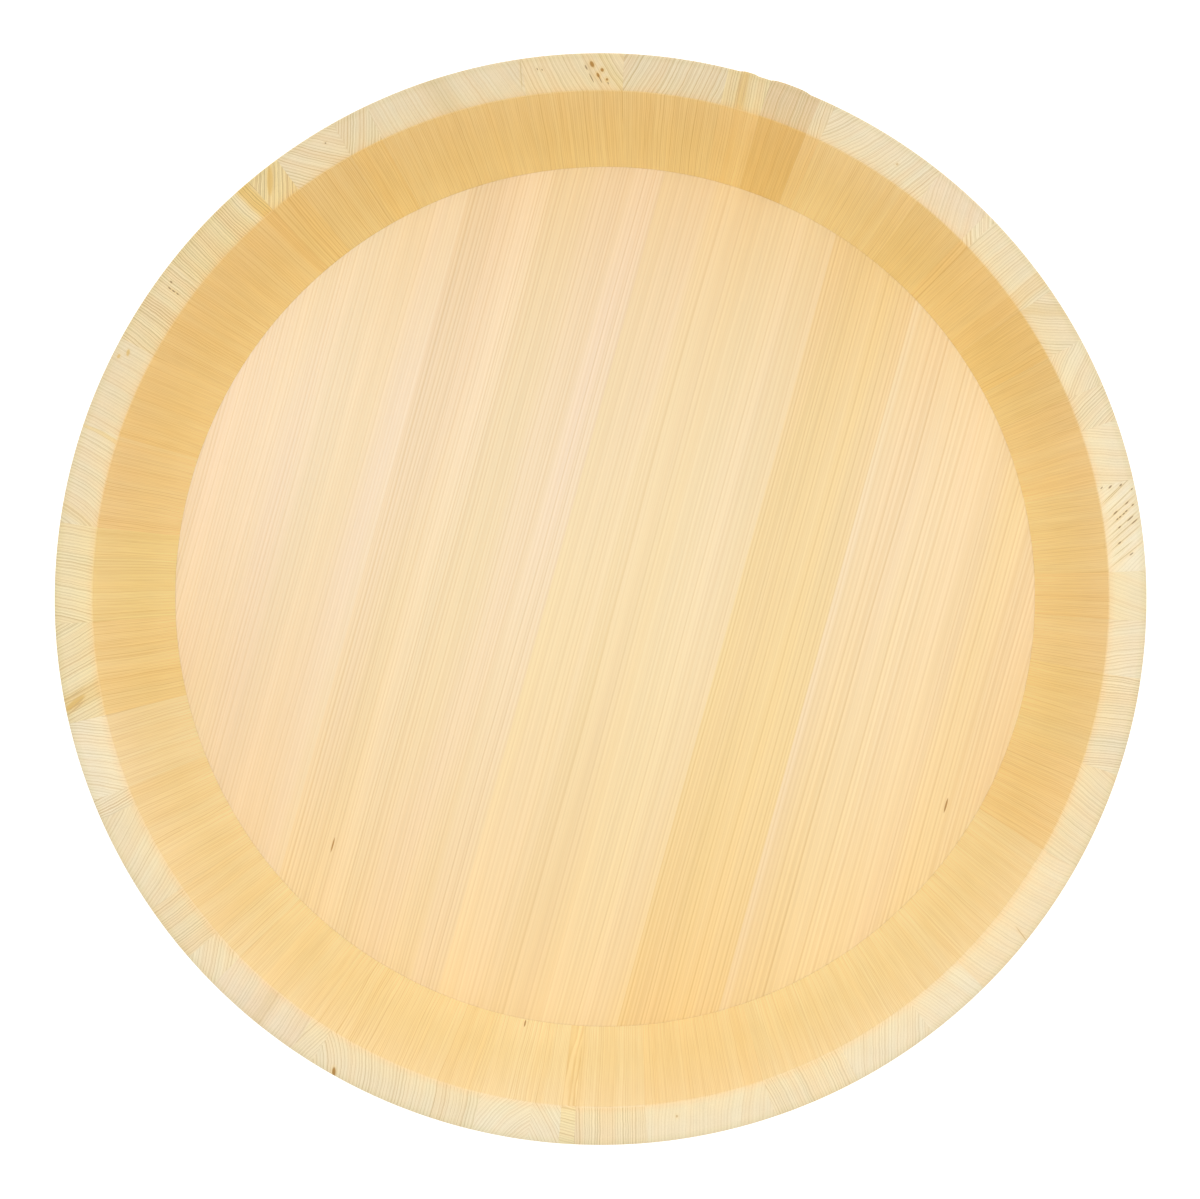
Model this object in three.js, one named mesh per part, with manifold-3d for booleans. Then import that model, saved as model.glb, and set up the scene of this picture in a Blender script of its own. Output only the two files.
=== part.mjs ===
// Coopered sushi rice tub: flared staves round a planked base, held by two riveted copper hoops.
// Millimetres, +Z up, origin at the middle of the foot, on the surface that the tub stands on.

import * as THREE from 'three';
import { mergeVertices } from 'three/addons/utils/BufferGeometryUtils.js';
import loadManifold from 'manifold-3d';

const wasm = await loadManifold();
wasm.setup();

// Tub
const RIM_RADIUS = 180;
const HEIGHT = 96;
const WALL = 13;
const FLARE_DEG = 4;
const RIM_EASE_OUTSIDE = 1.6;
const RIM_EASE_INSIDE = 0.8;
const FOOT_EASE = 1.5;

// Staves: the angles of the joints between them, counter-clockwise from +X
const STAVE_JOINTS_DEG = [
  3.0, 12.7, 19.2, 23.2, 28.3, 34.4, 43.7, 44.9, 51.4, 64.5, 66.2, 71.8, 76.4, 87.5, 98.4,
  115.4, 119.4, 126.4, 130.1, 141.6, 151.4, 161.3, 171.9, 182.6, 193.2, 201.7, 203.8, 214.6, 221.0, 224.8,
  235.5, 238.0, 256.4, 262.3, 265.6, 267.2, 275.0, 288.7, 298.2, 307.5, 314.6, 330.5, 341.2, 351.6, 357.7,
];

// Base board: planks across the tub, tongued into a groove in the staves
const BOARD_TOP = 24;
const BOARD_THICKNESS = 14;
const BOARD_EDGE_THICKNESS = 10;
const BOARD_EDGE_TAPER = 8;
const BOARD_EDGE_LAND = 4;
const BOARD_TOP_EASE = 0.4;
const GROOVE_DEPTH = 3;
const GRAIN_TURN_DEG = -15.5;
const PLANK_JOINTS = [-90.3, -20.9, 47.4, 82.9];

// Pegs across the joints of the planks: each one's place along its joint
const PEG_RADIUS = 2;
const PEG_LENGTH = 26;
const PEG_POINT = 3;
const PEG_PLACES = [12, -18, 22, -10];

// Hoops
const HOOP_WIDTH = 14;
const HOOP_THICKNESS = 0.8;
const LAP_LENGTH = 27;
const UPPER_HOOP_FOOT = 60;
const LOWER_HOOP_FOOT = 13;
const UPPER_LAP_DEG = 281.8;
const LOWER_LAP_DEG = 106.9;

// Rivets through the laps
const RIVET_SPACING = 12;
const RIVET_SHANK_RADIUS = 1.7;
const RIVET_HEAD_RADIUS = 3.6;
const RIVET_HEAD_HEIGHT = 1.5;
const RIVET_TAIL_RADIUS = 2.6;
const RIVET_TAIL_THICKNESS = 0.8;

// Clearances and fineness
const GAP = 0.3;
const FACET_DEG = 3;
const EASE_STEPS = 2;
const DOME_STEPS = 3;
const BOARD_FACETS = 96;
const PIN_FACETS = 12;
const CUT_MARGIN = 5;
const MERGE_DISTANCE = 1e-4;

const flare = Math.tan(THREE.MathUtils.degToRad(FLARE_DEG));
const grooveTop = BOARD_TOP + GAP;
const grooveFoot = BOARD_TOP - BOARD_EDGE_THICKNESS - GAP;
const lapLift = HOOP_THICKNESS + GAP;

const wood = new THREE.MeshStandardMaterial({ color: 0xf0d6a0, roughness: 0.62, metalness: 0 });
const boardWood = new THREE.MeshStandardMaterial({ color: 0xf7daab, roughness: 0.6, metalness: 0 });
const bamboo = new THREE.MeshStandardMaterial({ color: 0xd9bd7a, roughness: 0.5, metalness: 0 });
const copper = new THREE.MeshStandardMaterial({ color: 0xb87048, roughness: 0.35, metalness: 1 });

// Radius of the outer and the inner face of the wall at a height
function outerFace(z) {
  return RIM_RADIUS - (HEIGHT - z) * flare;
}

function innerFace(z) {
  return outerFace(z) - WALL;
}

const grooveRadius = innerFace(grooveTop) + GROOVE_DEPTH;
const boardRadius = grooveRadius - GAP;

function arcDegrees(length, radius) {
  return THREE.MathUtils.radToDeg(length / radius);
}

// Bends an extruded section round the tub's axis: its x is a radius, its y a height and its depth an angle.
// The angle runs backwards, so that faces that point out of the straight section still point out.
function bendRound(section, fromDeg, toDeg, lift) {
  const depth = THREE.MathUtils.degToRad(toDeg - fromDeg);
  const steps = Math.ceil((toDeg - fromDeg) / FACET_DEG);
  const options = { depth, steps, bevelEnabled: false, curveSegments: EASE_STEPS };
  const geometry = new THREE.ExtrudeGeometry(section, options);
  const place = geometry.attributes.position;
  const last = THREE.MathUtils.degToRad(toDeg);
  for (let i = 0; i < place.count; i += 1) {
    const angle = last - place.getZ(i);
    const radius = place.getX(i) + lift(THREE.MathUtils.radToDeg(angle));
    place.setXYZ(i, radius * Math.cos(angle), radius * Math.sin(angle), place.getY(i));
  }
  geometry.computeVertexNormals();
  return geometry;
}

// Turns a profile of radius and height about the Z axis
function turn(profile, facets) {
  const points = profile.map(([radius, height]) => new THREE.Vector2(radius, height));
  return new THREE.LatheGeometry(points, facets).rotateX(Math.PI / 2);
}

// A pin or bore along Z
function pin(radius, foot, top) {
  return turn([[0, foot], [radius, foot], [radius, top], [0, top]], PIN_FACETS);
}

// Lays a piece made along Z out along a radius of the tub, square to the flared wall
function layOnWall(geometry, deg, z) {
  const angle = THREE.MathUtils.degToRad(deg);
  const radius = outerFace(z);
  geometry.rotateY(Math.PI / 2 + THREE.MathUtils.degToRad(FLARE_DEG));
  geometry.rotateZ(angle);
  return geometry.translate(radius * Math.cos(angle), radius * Math.sin(angle), z);
}

function toSolid(geometry) {
  const bare = geometry.clone();
  bare.deleteAttribute('normal');
  bare.deleteAttribute('uv');
  const merged = mergeVertices(bare, MERGE_DISTANCE);
  const corners = Array.from(merged.index.array);
  const kept = [];
  for (let i = 0; i < corners.length; i += 3) {
    const [a, b, c] = corners.slice(i, i + 3);
    if (a !== b && b !== c && c !== a) {
      kept.push(a, b, c);
    }
  }
  const vertProperties = new Float32Array(merged.attributes.position.array);
  return new wasm.Manifold(new wasm.Mesh({ numProp: 3, vertProperties, triVerts: new Uint32Array(kept) }));
}

function toGeometry(solid) {
  const mesh = solid.getMesh();
  const geometry = new THREE.BufferGeometry();
  geometry.setAttribute('position', new THREE.BufferAttribute(new Float32Array(mesh.vertProperties), 3));
  geometry.setIndex(new THREE.BufferAttribute(new Uint32Array(mesh.triVerts), 1));
  geometry.computeVertexNormals();
  return geometry;
}

function cut(geometry, tools) {
  const left = tools.reduce((solid, tool) => solid.subtract(toSolid(tool)), toSolid(geometry));
  return toGeometry(left);
}

function named(name, geometry, material) {
  const mesh = new THREE.Mesh(geometry, material);
  mesh.name = name;
  return mesh;
}

// Rivets: where each one of a hoop stands, and its shape
function rivetPlaces(lapDeg, hoopFoot) {
  const z = hoopFoot + HOOP_WIDTH / 2;
  const half = arcDegrees(RIVET_SPACING, outerFace(z)) / 2;
  return [-half, half].map((offset) => ({ deg: lapDeg + offset, z }));
}

const upperRivets = rivetPlaces(UPPER_LAP_DEG, UPPER_HOOP_FOOT);
const lowerRivets = rivetPlaces(LOWER_LAP_DEG, LOWER_HOOP_FOOT);
const allRivets = [...upperRivets, ...lowerRivets];

// A rivet's height is measured out from the wall: its head stands clear of both layers of the lap
const headFoot = 2 * (GAP + HOOP_THICKNESS) + GAP;

function rivet({ deg, z }) {
  const tailTop = -GAP;
  const tailFoot = tailTop - RIVET_TAIL_THICKNESS;
  const dome = [];
  for (let i = 0; i < DOME_STEPS; i += 1) {
    const swing = (i / DOME_STEPS) * (Math.PI / 2);
    dome.push([RIVET_HEAD_RADIUS * Math.cos(swing), headFoot + RIVET_HEAD_HEIGHT * Math.sin(swing)]);
  }
  const profile = [
    [0, tailFoot],
    [RIVET_TAIL_RADIUS, tailFoot],
    [RIVET_TAIL_RADIUS, tailTop],
    [RIVET_SHANK_RADIUS, tailTop],
    [RIVET_SHANK_RADIUS, headFoot],
    ...dome,
    [0, headFoot + RIVET_HEAD_HEIGHT],
  ];
  return layOnWall(turn(profile, PIN_FACETS), deg, z);
}

// Shallow bore in a stave that takes the spread tail of a rivet
function tailRecess({ deg, z }) {
  const depth = 2 * GAP + RIVET_TAIL_THICKNESS;
  return layOnWall(pin(RIVET_TAIL_RADIUS + GAP, -depth, CUT_MARGIN), deg, z);
}

function shankHole({ deg, z }) {
  return layOnWall(pin(RIVET_SHANK_RADIUS + GAP, -CUT_MARGIN, CUT_MARGIN), deg, z);
}

// Staves: one section, eased at the rim and the foot and grooved for the base board
function staveSection() {
  const easeOut = HEIGHT - RIM_EASE_OUTSIDE;
  const easeIn = HEIGHT - RIM_EASE_INSIDE;
  const section = new THREE.Shape();
  section.moveTo(outerFace(0) - FOOT_EASE, 0);
  section.lineTo(outerFace(FOOT_EASE), FOOT_EASE);
  section.lineTo(outerFace(easeOut), easeOut);
  section.quadraticCurveTo(RIM_RADIUS, HEIGHT, RIM_RADIUS - RIM_EASE_OUTSIDE, HEIGHT);
  section.lineTo(innerFace(HEIGHT) + RIM_EASE_INSIDE, HEIGHT);
  section.quadraticCurveTo(innerFace(HEIGHT), HEIGHT, innerFace(easeIn), easeIn);
  section.lineTo(innerFace(grooveTop), grooveTop);
  section.lineTo(grooveRadius, grooveTop);
  section.lineTo(grooveRadius, grooveFoot);
  section.lineTo(innerFace(grooveFoot), grooveFoot);
  section.lineTo(innerFace(FOOT_EASE), FOOT_EASE);
  section.lineTo(innerFace(0) + FOOT_EASE, 0);
  section.closePath();
  return section;
}

function buildStaves() {
  const group = new THREE.Group();
  const section = staveSection();
  const halfGap = arcDegrees(GAP / 2, innerFace(HEIGHT / 2));
  STAVE_JOINTS_DEG.forEach((joint, i) => {
    const wraps = i === STAVE_JOINTS_DEG.length - 1;
    const next = wraps ? STAVE_JOINTS_DEG[0] + 360 : STAVE_JOINTS_DEG[i + 1];
    const plain = bendRound(section, joint + halfGap, next - halfGap, () => 0);
    const riveted = allRivets.filter(({ deg }) => deg > joint && deg < next);
    const geometry = riveted.length > 0 ? cut(plain, riveted.map(tailRecess)) : plain;
    group.add(named(`stave_${String(i + 1).padStart(2, '0')}`, geometry, wood));
  });
  return group;
}

// Base: one round blank, tapered below and eased above at its edge, cut into planks that are pegged together
function boardBlank() {
  const foot = BOARD_TOP - BOARD_THICKNESS;
  const edgeFoot = BOARD_TOP - BOARD_EDGE_THICKNESS;
  const profile = [
    [0, foot],
    [boardRadius - BOARD_EDGE_TAPER, foot],
    [boardRadius - BOARD_EDGE_LAND, edgeFoot],
    [boardRadius, edgeFoot],
    [boardRadius, BOARD_TOP - BOARD_TOP_EASE],
    [boardRadius - BOARD_EDGE_LAND, BOARD_TOP],
    [0, BOARD_TOP],
  ];
  return turn(profile, BOARD_FACETS);
}

function layAcrossJoint(geometry, i) {
  geometry.rotateY(Math.PI / 2);
  return geometry.translate(PLANK_JOINTS[i], PEG_PLACES[i], BOARD_TOP - BOARD_EDGE_THICKNESS / 2);
}

function peg(i) {
  const half = PEG_LENGTH / 2;
  const tip = PEG_RADIUS / 2;
  const profile = [
    [0, -half],
    [tip, -half],
    [PEG_RADIUS, PEG_POINT - half],
    [PEG_RADIUS, half - PEG_POINT],
    [tip, half],
    [0, half],
  ];
  return layAcrossJoint(turn(profile, PIN_FACETS), i);
}

function pegHole(i) {
  const reach = PEG_LENGTH / 2 + GAP;
  return layAcrossJoint(pin(PEG_RADIUS + GAP, -reach, reach), i);
}

function buildBase() {
  const group = new THREE.Group();
  const blank = toSolid(boardBlank());
  const edges = [-boardRadius - CUT_MARGIN, ...PLANK_JOINTS, boardRadius + CUT_MARGIN];
  const holes = PLANK_JOINTS.map((_, i) => toSolid(pegHole(i)));
  for (let i = 0; i + 1 < edges.length; i += 1) {
    const width = edges[i + 1] - edges[i] - GAP;
    const strip = new THREE.BoxGeometry(width, 2 * RIM_RADIUS, 2 * HEIGHT);
    strip.translate((edges[i] + edges[i + 1]) / 2, 0, 0);
    const plank = holes.reduce((solid, hole) => solid.subtract(hole), blank.intersect(toSolid(strip)));
    group.add(named(`base_plank_${i + 1}`, toGeometry(plank), boardWood));
  }
  PLANK_JOINTS.forEach((_, i) => {
    group.add(named(`base_peg_${i + 1}`, peg(i), bamboo));
  });
  group.rotation.z = THREE.MathUtils.degToRad(GRAIN_TURN_DEG);
  return group;
}

// Hoops: a strip as flared as the wall, whose tail climbs over its start and is riveted there
function buildHoop(name, hoopFoot, lapDeg, places) {
  const group = new THREE.Group();
  const top = hoopFoot + HOOP_WIDTH;
  const section = new THREE.Shape();
  section.moveTo(outerFace(hoopFoot) + GAP, hoopFoot);
  section.lineTo(outerFace(hoopFoot) + GAP + HOOP_THICKNESS, hoopFoot);
  section.lineTo(outerFace(top) + GAP + HOOP_THICKNESS, top);
  section.lineTo(outerFace(top) + GAP, top);
  section.closePath();
  const lap = arcDegrees(LAP_LENGTH, outerFace(hoopFoot));
  const start = lapDeg - lap / 2;
  const climbEnd = start + 360;
  const climb = (deg) => lapLift * THREE.MathUtils.smoothstep(deg, climbEnd - lap, climbEnd - FACET_DEG);
  const strip = bendRound(section, start, climbEnd + lap, climb);
  group.add(named(name, cut(strip, places.map(shankHole)), copper));
  places.forEach((place, i) => {
    group.add(named(`${name}_rivet_${i + 1}`, rivet(place), copper));
  });
  return group;
}

const tub = new THREE.Group();
tub.add(buildStaves());
tub.add(buildBase());
tub.add(buildHoop('upper_hoop', UPPER_HOOP_FOOT, UPPER_LAP_DEG, upperRivets));
tub.add(buildHoop('lower_hoop', LOWER_HOOP_FOOT, LOWER_LAP_DEG, lowerRivets));

export default tub;
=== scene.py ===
"""Sushi rice tub: flared wooden staves round a planked base, held by two riveted copper hoops."""

import math
from contextlib import contextmanager
from typing import NamedTuple

import bmesh
import bpy
from bpy.props import FloatProperty, FloatVectorProperty, PointerProperty
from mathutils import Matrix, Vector


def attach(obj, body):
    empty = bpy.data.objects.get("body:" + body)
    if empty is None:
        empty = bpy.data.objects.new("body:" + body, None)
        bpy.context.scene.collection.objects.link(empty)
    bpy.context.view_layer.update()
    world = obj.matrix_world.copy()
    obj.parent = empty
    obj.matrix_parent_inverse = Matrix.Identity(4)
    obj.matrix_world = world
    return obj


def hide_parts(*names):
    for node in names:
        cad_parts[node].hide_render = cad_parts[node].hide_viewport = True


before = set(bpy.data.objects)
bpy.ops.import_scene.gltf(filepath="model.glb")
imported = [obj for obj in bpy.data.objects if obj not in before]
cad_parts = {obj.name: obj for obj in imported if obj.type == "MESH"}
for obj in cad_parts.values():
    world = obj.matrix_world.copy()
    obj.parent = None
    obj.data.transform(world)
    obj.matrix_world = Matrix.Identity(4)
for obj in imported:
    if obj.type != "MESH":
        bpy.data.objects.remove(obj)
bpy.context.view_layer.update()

bl_info = {
    "name": "Sushi rice tub",
    "version": (1, 0, 0),
    "blender": (4, 5, 0),
    "location": "View3D > Sidebar > Tub",
    "description": "Builds a coopered sushi rice tub: staves, base planks, pegs, hoops and rivets",
    "category": "Add Mesh",
}

MM = 0.001
BODY = "root"

ORIGIN = (0.0, 0.0, 0.0)
RIGHT = (1.0, 0.0, 0.0)
UP = (0.0, 0.0, 1.0)
WHITE = (1.0, 1.0, 1.0)
QUARTER_TURN = math.pi / 2
FULL_TURN = 2 * math.pi

# How finely the round pieces and their edges are divided
STAVE_STEP = math.radians(0.75)
PROUD_STEP = math.radians(0.25)
HOOP_STEP = math.radians(1.5)
BOARD_SIDES = 480
RIVET_SIDES = 32
RIVET_RINGS = 16
RIM_OUTSIDE_STEPS = 5
RIM_INSIDE_STEPS = 4
HOOP_EDGE_STEPS = 2
SMOOTH_ANGLE = math.radians(30)

# How close corners are that count as level, that merge and that lie on a cut
LEVEL = 0.01 * MM
MERGE = 0.002 * MM
ON_CUT = 0.001 * MM

# The corners of the wall's section lie further from its middle than this share of its thickness
CORNER_SHARE = 0.49
# How far above the upper hoop a stave starts to stand proud, and how flat the raised part is
PROUD_GAP = 2 * MM
PROUD_FLATNESS = 4
# Rounding of the hoops' edges, and how far before the start of its hoop a tail has risen in full
HOOP_EDGE = 0.15 * MM
TAIL_LEAD = math.radians(2.4)
# How far a boring tool reaches beyond the wall's outer face
TOOL_REACH = 5 * MM
# Where the pegs sit along the joints of the base planks, in mm
PEG_PLACES = (12, -18, 22, -10)

# Which output of a Mix node is a colour
MIXED_COLOUR = 2

# A growth ring, in shares of its width: its late wood sets in, is full and breaks off
LATE_START = 0.28
LATE_FULL = 0.74
LATE_BREAK = 0.8
# How unequal the rings are in width, how fast that changes and how strong the faintest one is
RING_UNEVEN = 0.9
RING_CHANGE = 0.37
RING_FAINTEST = 0.38

# How strongly each kind of mark covers the wood and tints it all round, and how far the tint reaches in mm
MARK_COVER = {
    "resin": (0.85, 0.4),
    "pitch": (0.65, 0.15),
    "rim_ring": (0.65, 0.15),
    "rim_ring_warm": (0.7, 0.15),
    "wall_ring": (0.7, 0.15),
}
HALO_LENGTH = 1.4
HALO_WIDTH = 1.2
# How strongly streaks and seams cover the wood, and the width of a seam in mm
STREAK_COVER = 0.8
SEAM_COVER = 0.6
SEAM_WIDTH = 0.6
# Blur of a band's sides as a share of its width, and of an oval's edge in squares of its reach
BAND_BLUR = 0.27
OVAL_EDGE = (1.5, 0.4)

# Grain of the staves: scale of each noise per mm outwards, round the tub and up. Wander starts with its mm
STAVE_SEED = 7.31
STAVE_WANDER = ((1.8, (0.05, 0.05, 0.012)), (0.5, (0.3, 0.3, 0.03)))
STAVE_FIBRE = (1.5, 1.5, 0.03)
STAVE_PORES = (2.5, 2.5, 0.4)
STAVE_CLOUDS = (0.12, 0.12, 0.01)
STAVE_WARM_PACE = 0.19
STAVE_WARM_SPAN = (-0.22, 0.22)
FINE_SPACING = 0.43
FINE_SEED = 0.5

# Strength of the staves' grain on the rim and on the wall
RIM_RINGS = 0.95
RIM_FINE_RINGS = 0.8
WALL_RINGS = 0.5
WALL_LINES = 0.25
WALL_BOLD_LINES = 0.36
WALL_FIBRE = 0.35
WALL_BANDS = 0.3
CLOUD_SHADE = 0.09
FIBRE_SHADE = 0.06
PORE_SHADE = 0.12

# Where a stave's face turns from long grain to end grain, by how level it is, outside and inside
END_SPAN = (0.14, 0.42)
WORN_END_SPAN = (0.72, 0.97)
# Where the outer half of the wall turns into the inner half, in mm outwards
INSIDE_SPAN = (1.0, -1.0)
# Where each tone sets in and is full: mm outwards on the rim, and mm up the wall from the rim
# On the rim, past its outward paling: painted shade at its inner edge and at its rounded outer edge
RIM_SHADES = (("rim_outside", (-4.5, 2.5)), ("rim_inner_painted_shade", (-3.6, -6.4)), ("rim_edge_painted_shade", (3.2, 5.2)))
# Up the inner wall: painted light towards the base board, and painted shade high on the wall and just under
# the rim
WALL_SHADES = (("wall_foot_painted_light", (-36.0, -76.0)), ("wall_top_painted_shade", (-40.0, -5.0)), ("wall_edge_painted_shade", (-2.0, -0.4)))

# Grain of the base planks: scale of each noise per mm across, along and up. Wander starts with its mm
PLANK_SEED = 11.7
PLANK_WANDER = ((3.0, (0.012, 0.005, 0.01)), (2.4, (0.045, 0.004, 0.03)), (0.6, (0.15, 0.01, 0.1)))
PLANK_FIBRE = (1.6, 0.03, 1.6)
PLANK_WARMTH = (0.045, 0.004, 0.03)
PLANK_WARM_SPAN = (-0.2, 0.2)
PLANK_WARM_SEED = 3
PLANK_CLOUDS = (0.09, 0.003, 0.05)
PLANK_FIBRE_SHADE = 0.08
PLANK_CLOUD_SHADE = 0.16
RING_SLANT = 0.35
CLOSE_SPACING = 0.72
CLOSE_SEED = 0.3
COARSE_SPACING = 3.3
COARSE_SEED = 0.6

# Painted shade makes the board's near end yellower and darker, and painted light makes its far sides by the
# wall paler: mm along and across the grain
PAINTED_NEAR_SHADE_SPAN = (70.0, -100.0)
LESS_PAINTED_NEAR_SHADE = 0.25
LESS_PAINTED_NEAR_SHADE_SPAN = (-110.0, -160.0)
LEFT_SPANS = ((-85.0, -140.0), (-80.0, 60.0))
RIGHT_PAINTED_LIGHT = 0.7
RIGHT_SPANS = ((30.0, 90.0), (0.0, 110.0))
# Streaks show only on the upper face: mm below it
STREAK_DEPTH = (-6.0, -4.0)

# Bare wood: shine, roughness, more of it at the ends and less in late wood, and depth and strength of relief
WOOD_SHINE = 0.3
STAVE_ROUGHNESS = 0.52
END_ROUGHNESS = 0.12
STAVE_LATE_GLOSS = 0.08
STAVE_RELIEF = (0.12 * MM, 0.25)
PLANK_ROUGHNESS = 0.5
PLANK_LATE_GLOSS = 0.06
PLANK_RELIEF = (0.1 * MM, 0.2)

# Bamboo of the pegs
BAMBOO_FIBRE = (0.06, 2.2, 2.2)
BAMBOO_FIBRE_SPAN = (0.02, 0.2)
BAMBOO_FIBRE_COVER = 0.7
BAMBOO_ROUGHNESS = 0.45
BAMBOO_FIBRE_ROUGHNESS = 0.15

# Copper of the hoops and rivets: toned in clouds and along the rolling
COPPER_CLOUDS = (0.025, 0.025, 0.06)
COPPER_CLOUD_DETAIL = 3.0
COPPER_CLOUD_SPAN = (-0.2, 0.3)
COPPER_ROLLING = (0.03, 0.03, 3.0)
COPPER_CLOUD_TONE = 0.5
COPPER_ROLLING_TONE = 0.4
COPPER_ROUGHNESS = 0.28
COPPER_CLOUD_ROUGHNESS = 0.14
COPPER_ROLLING_ROUGHNESS = 0.12
COPPER_RELIEF = (0.05 * MM, 0.25)

# The camera looks straight down: its place in mm, its focal length and shift in pixels, its sensor in mm
CAMERA_PLACE = (11.86, 6.3, 586.1)
FOCAL_PIXELS = 1491.4
CAMERA_SHIFT = (-36.6, -19.6)
IMAGE_WIDTH = 1200
SENSOR = 36.0
CLIP_START = 0.01

# Level of the surroundings, and the rays that see them and the floor in full white
WORLD_LEVEL = 0.814
SEEN_RAYS = ("Is Camera Ray", "Is Glossy Ray", "Is Transmission Ray")
# Each lamp: its name, place, aim and size in m, and its power in W
LAMPS = (
    ("overhead_lamp", (0.0, 0.0, 1.5), (0.0, 0.0, 0.0), 0.8, 4.22),
    ("far_lamp", (0.35, 2.85, 0.85), (0.0, 0.0, 0.05), 1.9, 15.45),
)
# The floor: size in m, parts along a side, how far it lies under the tub, roughness and glow
FLOOR_SIZE = 8.0
FLOOR_PARTS = 8
FLOOR_DROP = 0.05 * MM
FLOOR_ROUGHNESS = 0.9
FLOOR_GLOW = 0.45

# Tones that a piece of wood can have, as a share of the plain colour
TONES = {
    "plain": (1.00, 1.00, 1.00),
    "cream": (1.04, 1.08, 1.16),
    "pale": (1.03, 1.04, 1.06),
    "light": (1.06, 1.06, 1.06),
    "blond": (1.05, 1.02, 0.99),
    "lemon": (1.02, 1.025, 0.94),
    "grey": (0.98, 1.00, 1.05),
    "rose": (1.00, 0.985, 1.05),
    "soft": (0.97, 0.96, 0.955),
    "straw": (1.00, 1.00, 0.92),
    "peach": (1.02, 0.995, 0.95),
    "warm": (1.02, 0.99, 0.90),
    "honey": (1.01, 0.965, 0.80),
    "hay": (0.965, 0.935, 0.78),
    "amber": (0.98, 0.925, 0.71),
    "russet": (0.935, 0.85, 0.61),
    "dull": (0.935, 0.935, 0.93),
    "ashen": (0.91, 0.905, 0.915),
    "tan": (0.945, 0.91, 0.84),
    "ochre": (0.955, 0.915, 0.78),
    "toasted": (0.92, 0.86, 0.72),
    "brown": (0.875, 0.80, 0.745),
    "orange": (0.98, 0.86, 0.57),
    "blush": (1.01, 1.05, 1.22),
    "linen": (1.00, 1.01, 1.07),
    "sand": (1.00, 0.97, 0.86),
    # painted shade: the board's near end yellower and darker
    "painted_near_shade": (0.968, 0.938, 0.86),
    "biscuit": (0.97, 0.90, 0.76),
    "snow": (1.05, 1.095, 1.225),
    "milk": (1.045, 1.065, 1.115),
    "ivory": (1.02, 1.02, 0.99),
    "dusky": (0.985, 0.95, 0.99),
    "primrose": (1.05, 1.06, 0.955),
    # painted light: the board's far sides paler by the wall
    "painted_side_light": (1.03, 1.07, 1.13),
    "rim_outside": (0.97, 0.991, 1.068),
    # painted shade: the rim's inner edge warmer where it turns down into the wall, and its rounded outer edge
    # darker
    "rim_inner_painted_shade": (1.02, 0.95, 0.87),
    "rim_edge_painted_shade": (0.955, 0.96, 0.92),
    # painted light at the wall's foot, and painted shade high on the wall and just under the rim
    "wall_foot_painted_light": (1.06, 1.105, 1.185),
    "wall_top_painted_shade": (0.985, 0.96, 0.985),
    "wall_edge_painted_shade": (0.95, 0.92, 0.93),
}


class Band(NamedTuple):
    """A stripe of other wood along the rings: its two sides, its tone and how strong that is.

    The sides are in degrees round the tub on a stave, and in mm across the grain on a plank.
    """

    low: float
    high: float
    tone: str
    strength: float = 1.0


class Mark(NamedTuple):
    """A spot of resin, a dash of pitch or a dark ring on the rim: degrees round the tub, then mm.

    inset is measured from the outer edge, length along the rings and width across them. stuff is the name of
    its colour, and lean its angle to the radius where it differs from the stave's.
    """

    degrees: float
    inset: float
    length: float
    width: float
    stuff: str = "resin"
    lean: float = None


class Streak(NamedTuple):
    """A short dark line along the grain: its middle, length and width in mm.

    On a stave, across is in degrees round the tub and along is the height.
    """

    across: float
    along: float
    length: float
    width: float


class Proud(NamedTuple):
    """Where a stave stands out above the hoops: its two sides in degrees round the tub, and how far in mm."""

    low: float
    high: float
    out: float


class Stave(NamedTuple):
    """One stave: where it starts, in degrees round the tub, and its wood.

    lean is the angle of the rings to the radius, pith the distance to the middle of the tree and ring the
    spacing of the rings, in mm. bold says how dark the late wood is, rim and wall are the tones of its end
    and of its sides, and seam says how dark its first joint shows in the wall.
    """

    first: float
    lean: float
    pith: float
    ring: float
    bold: float
    rim: str = "plain"
    wall: str = "honey"
    bands: tuple = ()
    marks: tuple = ()
    streaks: tuple = ()
    seam: float = 0.0
    proud: Proud = None


class Plank(NamedTuple):
    """One base plank: its left side, in mm across the grain, and its wood.

    ring is the spacing of the rings in mm, close the share of lines that lie closer, coarse the share of
    lines further apart, and bold how dark the late wood is.
    """

    left: float
    ring: float
    close: float
    coarse: float
    bold: float
    tone: str
    bands: tuple = ()
    streaks: tuple = ()


def dark_rings(*degrees):
    """Dark rings right across the rim."""
    return [Mark(place, inset=6.4, length=13.0, width=0.32, stuff="rim_ring") for place in degrees]


def dashes(*places):
    """Dashes of pitch: degrees, inset, length and width of each."""
    return [Mark(*place, stuff="pitch") for place in places]


# The rim and wall tones are partly each stave's own wood and partly painted light and shade: they run darker
# and more amber on the staves from about 30° to 160° and paler on those from about 190° to 320°
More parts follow.
